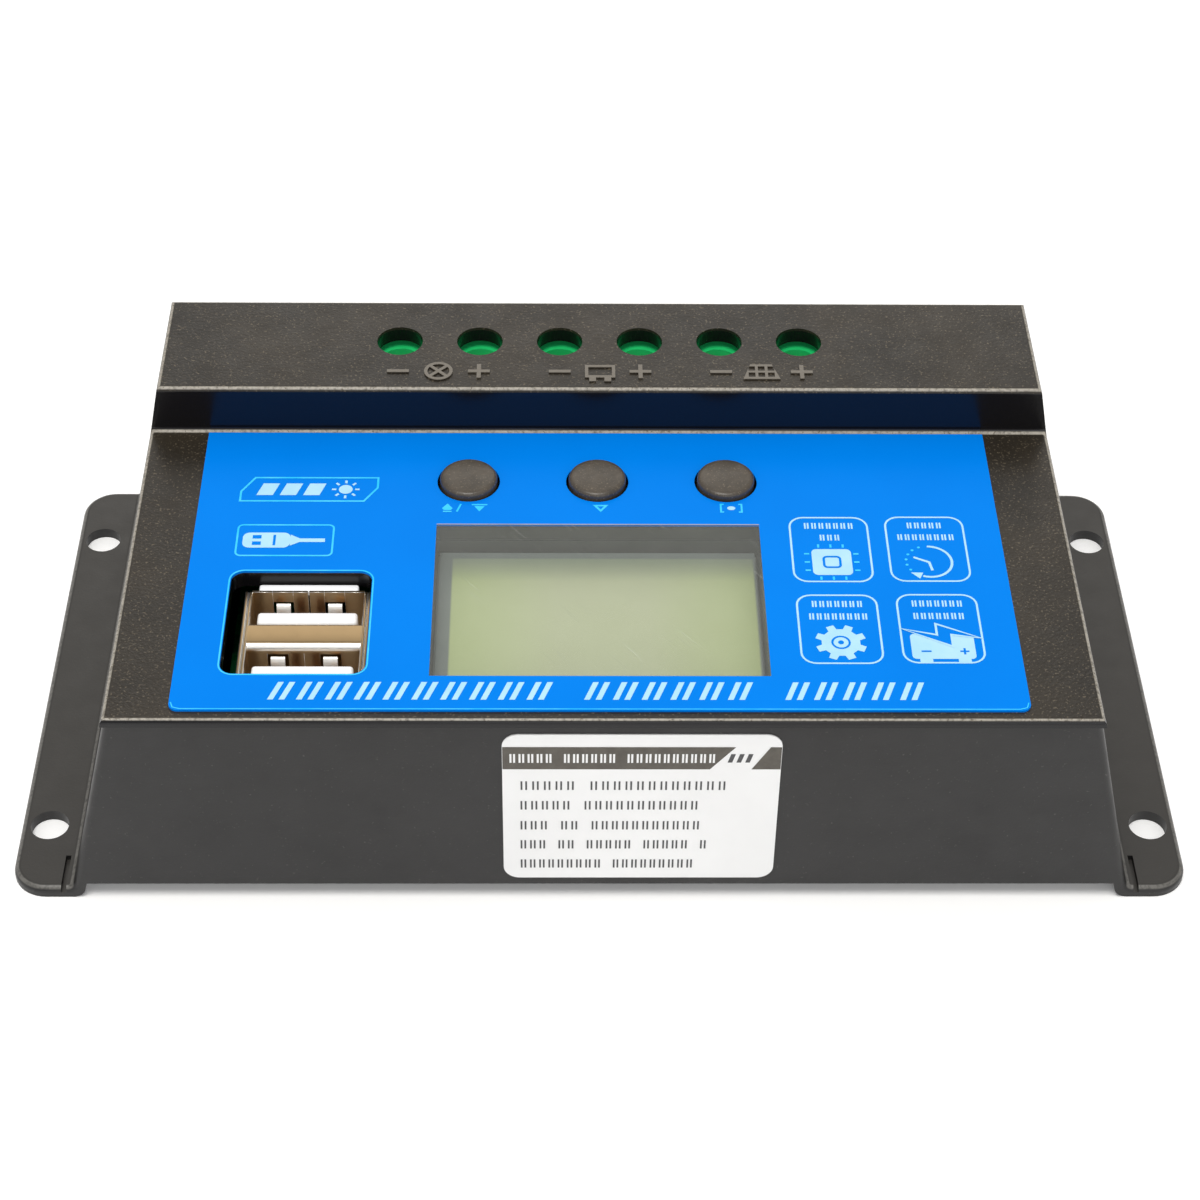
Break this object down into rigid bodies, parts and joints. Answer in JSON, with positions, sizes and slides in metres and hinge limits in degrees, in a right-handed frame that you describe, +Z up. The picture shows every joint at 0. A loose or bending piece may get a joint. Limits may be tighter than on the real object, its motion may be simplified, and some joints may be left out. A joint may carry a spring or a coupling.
{
  "type": "charge controller",
  "caption": "Small solar charge controller: folded metal chassis with drilled ears, blue-faced cover with display, buttons, USB sockets and a raised screw-terminal hood.",
  "frame": {"origin": "on the mounting surface, under the middle of the overall footprint", "axes": "+X along the row of terminals, +Y towards the wire entries, +Z up from the mounting surface to the face"},
  "size_m": [0.1334, 0.07, 0.035],
  "materials": {
    "chassis_coat": "satin powder coat",
    "cover_abs": "fine spark-eroded texture",
    "film_blue": "printed polyester film",
    "clear_film": "clear film",
    "label_white": "white polyester label",
    "lcd_glass": "reflective display glass",
    "black_plastic": "moulded",
    "light_guide": "clear acrylic",
    "button_cap": "fine texture",
    "plunger_nylon": "moulded",
    "plated_steel": "nickel plate",
    "zinc_steel": "zinc plate",
    "white_nylon": "moulded",
    "gold_plate": "gold flash",
    "green_nylon": "moulded",
    "tinned_brass": "tin plate",
    "board_laminate": "solder mask",
    "black_epoxy": "moulded epoxy",
    "tinned_copper": "tin plate",
    "pad_silicone": "filled silicone",
    "can_sleeve": "shrink sleeve",
    "ferrite": "sintered",
    "copper_winding": "enamelled wire",
    "shunt_alloy": "rolled strip"
  },
  "bodies": {
    "controller": {"chassis": "chassis_coat", "top_cover": "cover_abs", "face_overlay": "film_blue", "display_window": "clear_film", "rating_label": "label_white", "lcd_glass": "lcd_glass", "lcd_frame": "black_plastic", "lcd_backlight": "light_guide", "lcd_pins": "tinned_copper", "switch_bodies": "black_plastic", "switch_plates": "zinc_steel", "usb_shell": "plated_steel", "usb_insulator": "white_nylon", "usb_contacts": "gold_plate", "terminal_block": "green_nylon", "terminal_contacts": "tinned_brass", "circuit_board": "board_laminate", "board_standoffs": "zinc_steel", "board_screws": "zinc_steel", "housing_screws": "zinc_steel", "thermal_pad": "pad_silicone", "mosfet_tabs": "tinned_copper", "power_mosfets": "black_epoxy", "mosfet_screws": "zinc_steel", "reservoir_capacitor": "can_sleeve", "small_capacitor": "can_sleeve", "controller_chip": "black_epoxy", "regulator_chip": "black_epoxy", "catch_diode": "black_epoxy", "inductor_core": "ferrite", "power_inductor": "copper_winding", "current_shunt": "shunt_alloy"},
    "left_button": {"button_left": "button_cap", "switch_plunger_left": "plunger_nylon"},
    "middle_button": {"button_middle": "button_cap", "switch_plunger_middle": "plunger_nylon"},
    "right_button": {"button_right": "button_cap", "switch_plunger_right": "plunger_nylon"},
    "screw_1": {"terminal_screw_1": "zinc_steel"},
    "cage_1": {"clamp_cage_1": "zinc_steel"},
    "screw_2": {"terminal_screw_2": "zinc_steel"},
    "cage_2": {"clamp_cage_2": "zinc_steel"},
    "screw_3": {"terminal_screw_3": "zinc_steel"},
    "cage_3": {"clamp_cage_3": "zinc_steel"},
    "screw_4": {"terminal_screw_4": "zinc_steel"},
    "cage_4": {"clamp_cage_4": "zinc_steel"},
    "screw_5": {"terminal_screw_5": "zinc_steel"},
    "cage_5": {"clamp_cage_5": "zinc_steel"},
    "screw_6": {"terminal_screw_6": "zinc_steel"},
    "cage_6": {"clamp_cage_6": "zinc_steel"}
  },
  "joints": [
    {"name": "left_button_press", "type": "slide", "parent": "controller", "child": "left_button", "axis": [0, 0, -1], "range_m": [0, 0.0005], "stiffness_N_per_m": 3200},
    {"name": "middle_button_press", "type": "slide", "parent": "controller", "child": "middle_button", "axis": [0, 0, -1], "range_m": [0, 0.0005], "stiffness_N_per_m": 3200},
    {"name": "right_button_press", "type": "slide", "parent": "controller", "child": "right_button", "axis": [0, 0, -1], "range_m": [0, 0.0005], "stiffness_N_per_m": 3200},
    {"name": "screw_1_turn", "type": "hinge", "parent": "controller", "child": "screw_1", "pos_m": [-0.024, 0.0235, 0.0274], "axis": [0, 0, -1], "range_deg": [0, 2160]},
    {"name": "cage_1_lift", "type": "slide", "parent": "controller", "child": "cage_1", "axis": [0, 0, 1], "range_m": [0, 0.0036]},
    {"name": "screw_2_turn", "type": "hinge", "parent": "controller", "child": "screw_2", "pos_m": [-0.0144, 0.0235, 0.0274], "axis": [0, 0, -1], "range_deg": [0, 2160]},
    {"name": "cage_2_lift", "type": "slide", "parent": "controller", "child": "cage_2", "axis": [0, 0, 1], "range_m": [0, 0.0036]},
    {"name": "screw_3_turn", "type": "hinge", "parent": "controller", "child": "screw_3", "pos_m": [-0.0048, 0.0235, 0.0274], "axis": [0, 0, -1], "range_deg": [0, 2160]},
    {"name": "cage_3_lift", "type": "slide", "parent": "controller", "child": "cage_3", "axis": [0, 0, 1], "range_m": [0, 0.0036]},
    {"name": "screw_4_turn", "type": "hinge", "parent": "controller", "child": "screw_4", "pos_m": [0.0048, 0.0235, 0.0274], "axis": [0, 0, -1], "range_deg": [0, 2160]},
    {"name": "cage_4_lift", "type": "slide", "parent": "controller", "child": "cage_4", "axis": [0, 0, 1], "range_m": [0, 0.0036]},
    {"name": "screw_5_turn", "type": "hinge", "parent": "controller", "child": "screw_5", "pos_m": [0.0144, 0.0235, 0.0274], "axis": [0, 0, -1], "range_deg": [0, 2160]},
    {"name": "cage_5_lift", "type": "slide", "parent": "controller", "child": "cage_5", "axis": [0, 0, 1], "range_m": [0, 0.0036]},
    {"name": "screw_6_turn", "type": "hinge", "parent": "controller", "child": "screw_6", "pos_m": [0.024, 0.0235, 0.0274], "axis": [0, 0, -1], "range_deg": [0, 2160]},
    {"name": "cage_6_lift", "type": "slide", "parent": "controller", "child": "cage_6", "axis": [0, 0, 1], "range_m": [0, 0.0036]}
  ],
  "couplings": [
    {"joint": "screw_1_turn", "follows": "cage_1_lift", "rad_per_m": 10472},
    {"joint": "screw_2_turn", "follows": "cage_2_lift", "rad_per_m": 10472},
    {"joint": "screw_3_turn", "follows": "cage_3_lift", "rad_per_m": 10472},
    {"joint": "screw_4_turn", "follows": "cage_4_lift", "rad_per_m": 10472},
    {"joint": "screw_5_turn", "follows": "cage_5_lift", "rad_per_m": 10472},
    {"joint": "screw_6_turn", "follows": "cage_6_lift", "rad_per_m": 10472}
  ]
}
